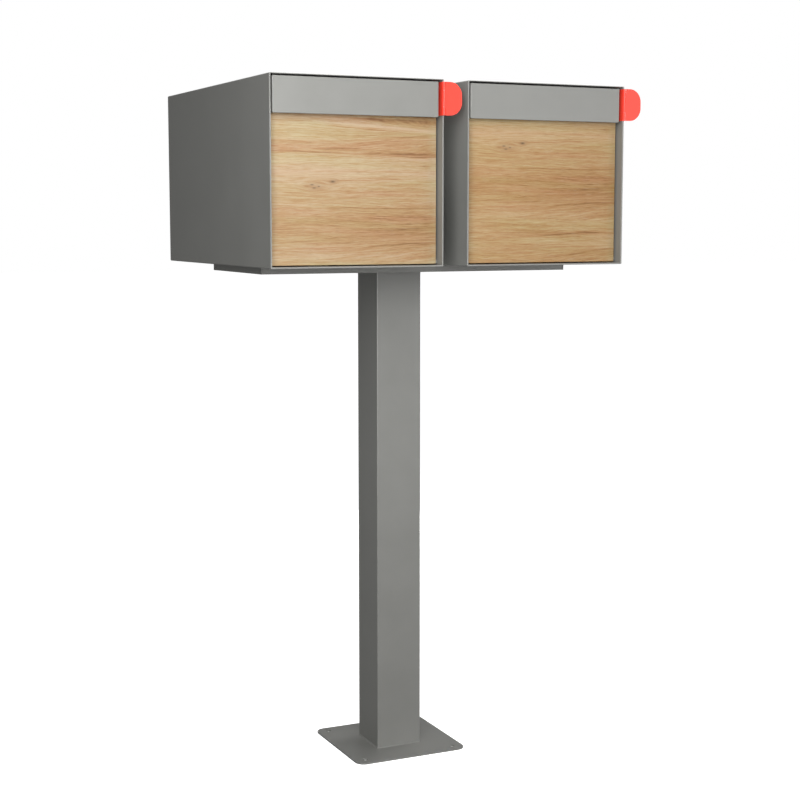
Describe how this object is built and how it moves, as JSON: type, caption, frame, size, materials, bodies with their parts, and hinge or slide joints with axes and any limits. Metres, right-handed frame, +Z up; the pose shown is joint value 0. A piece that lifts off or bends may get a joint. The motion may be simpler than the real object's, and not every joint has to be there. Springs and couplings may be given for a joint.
{
  "type": "twin post-mounted mailbox",
  "caption": "Side-by-side steel mailboxes on a square post, each with a wood-faced drop-down door, a folded handle strip and a red side flag.",
  "frame": {"origin": "middle of the base plate's underside, on the post's axis", "axes": "+Z up along the post, -Y towards the doors, +X to the right seen from the front"},
  "size_m": [0.8176, 0.6561, 1.437],
  "materials": {
    "grey_paint": "satin",
    "red_paint": "satin",
    "oak": "satin",
    "steel": "satin",
    "magnet_housing": "matte"
  },
  "bodies": {
    "stand": {"base_plate": "grey_paint", "left_back_panel": "grey_paint", "left_box_bolt_1": "steel", "left_box_bolt_2": "steel", "left_box_bolt_3": "steel", "left_box_bolt_4": "steel", "left_box_nut_1": "steel", "left_box_nut_2": "steel", "left_box_nut_3": "steel", "left_box_nut_4": "steel", "left_box_shell": "grey_paint", "left_catch_magnet_a": "magnet_housing", "left_catch_magnet_b": "magnet_housing", "left_flag_leaf": "red_paint", "left_flag_pin": "steel", "left_hinge_pin_a": "steel", "left_hinge_pin_b": "steel", "mounting_tray": "grey_paint", "post": "grey_paint", "post_top_plate": "grey_paint", "right_back_panel": "grey_paint", "right_box_bolt_1": "steel", "right_box_bolt_2": "steel", "right_box_bolt_3": "steel", "right_box_bolt_4": "steel", "right_box_nut_1": "steel", "right_box_nut_2": "steel", "right_box_nut_3": "steel", "right_box_nut_4": "steel", "right_box_shell": "grey_paint", "right_catch_magnet_a": "magnet_housing", "right_catch_magnet_b": "magnet_housing", "right_flag_leaf": "red_paint", "right_flag_pin": "steel", "right_hinge_pin_a": "steel", "right_hinge_pin_b": "steel"},
    "left_door": {"left_door_handle": "grey_paint", "left_door_pan": "grey_paint", "left_handle_screw_a": "steel", "left_handle_screw_b": "steel", "left_wood_panel": "oak"},
    "right_door": {"right_door_handle": "grey_paint", "right_door_pan": "grey_paint", "right_handle_screw_a": "steel", "right_handle_screw_b": "steel", "right_wood_panel": "oak"},
    "left_flag": {"left_flag_blade": "red_paint"},
    "right_flag": {"right_flag_blade": "red_paint"}
  },
  "joints": [
    {"name": "left_door_hinge", "type": "hinge", "parent": "stand", "child": "left_door", "pos_m": [-0.2085, -0.292, 1.0815], "axis": [1, 0, 0], "range_deg": [0, 95]},
    {"name": "left_flag_hinge", "type": "hinge", "parent": "stand", "child": "left_flag", "pos_m": [-0.0277, -0.3208, 1.3994], "axis": [0, 0, 1], "range_deg": [0, 90]},
    {"name": "right_door_hinge", "type": "hinge", "parent": "stand", "child": "right_door", "pos_m": [0.2085, -0.292, 1.0815], "axis": [1, 0, 0], "range_deg": [0, 95]},
    {"name": "right_flag_hinge", "type": "hinge", "parent": "stand", "child": "right_flag", "pos_m": [0.3893, -0.3208, 1.3994], "axis": [0, 0, 1], "range_deg": [0, 90]}
  ]
}
